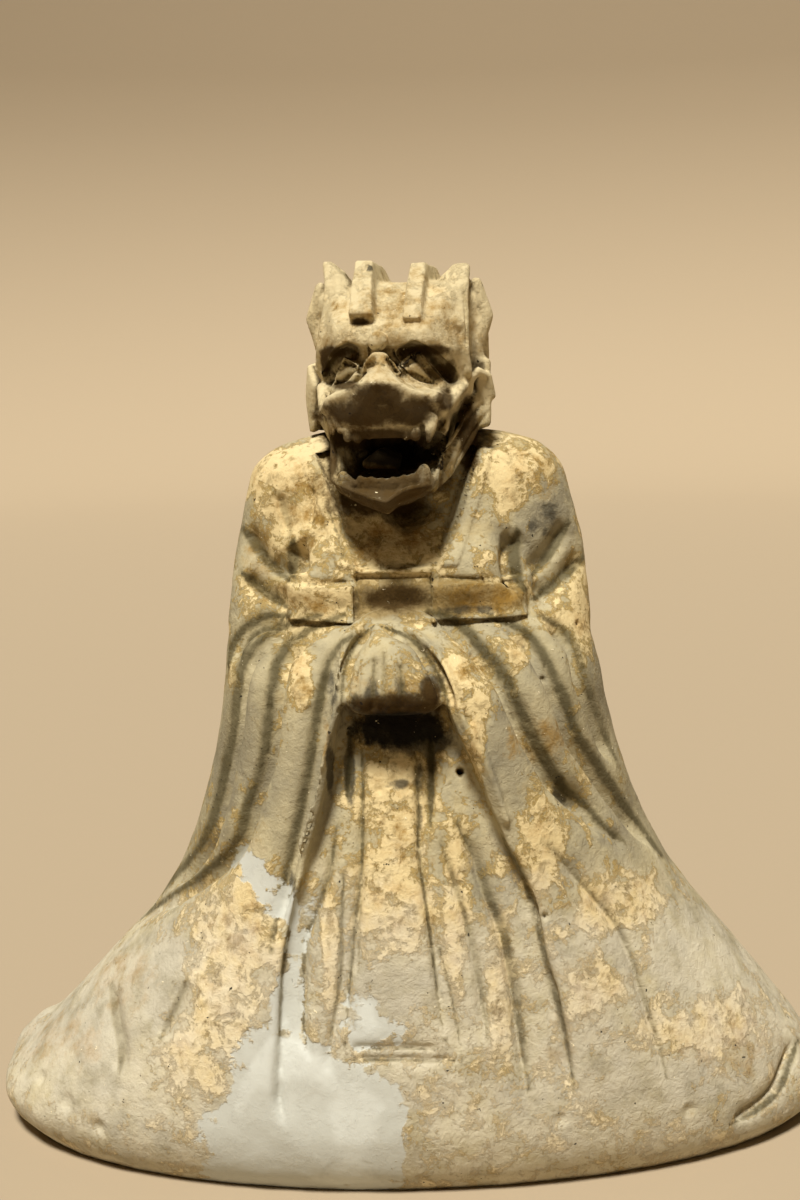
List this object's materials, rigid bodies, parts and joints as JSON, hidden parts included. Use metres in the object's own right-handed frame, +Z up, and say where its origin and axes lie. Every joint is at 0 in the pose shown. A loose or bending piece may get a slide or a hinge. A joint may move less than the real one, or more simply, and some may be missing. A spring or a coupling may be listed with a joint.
{
  "type": "pottery zodiac figure",
  "caption": "Seated robed pottery figure with a dragon's head, clasped hands under draped sleeves and a wide flat-footed skirt.",
  "frame": {"origin": "centre of the figure's outer box on the surface it stands on", "axes": "+Z up, -Y the way the figure's body faces, +X towards the figure's left hand"},
  "size_m": [0.266, 0.1402, 0.2686],
  "materials": {
    "fired_clay": "matte"
  },
  "bodies": {
    "root": {"zodiac_figure": "fired_clay"}
  },
  "joints": []
}
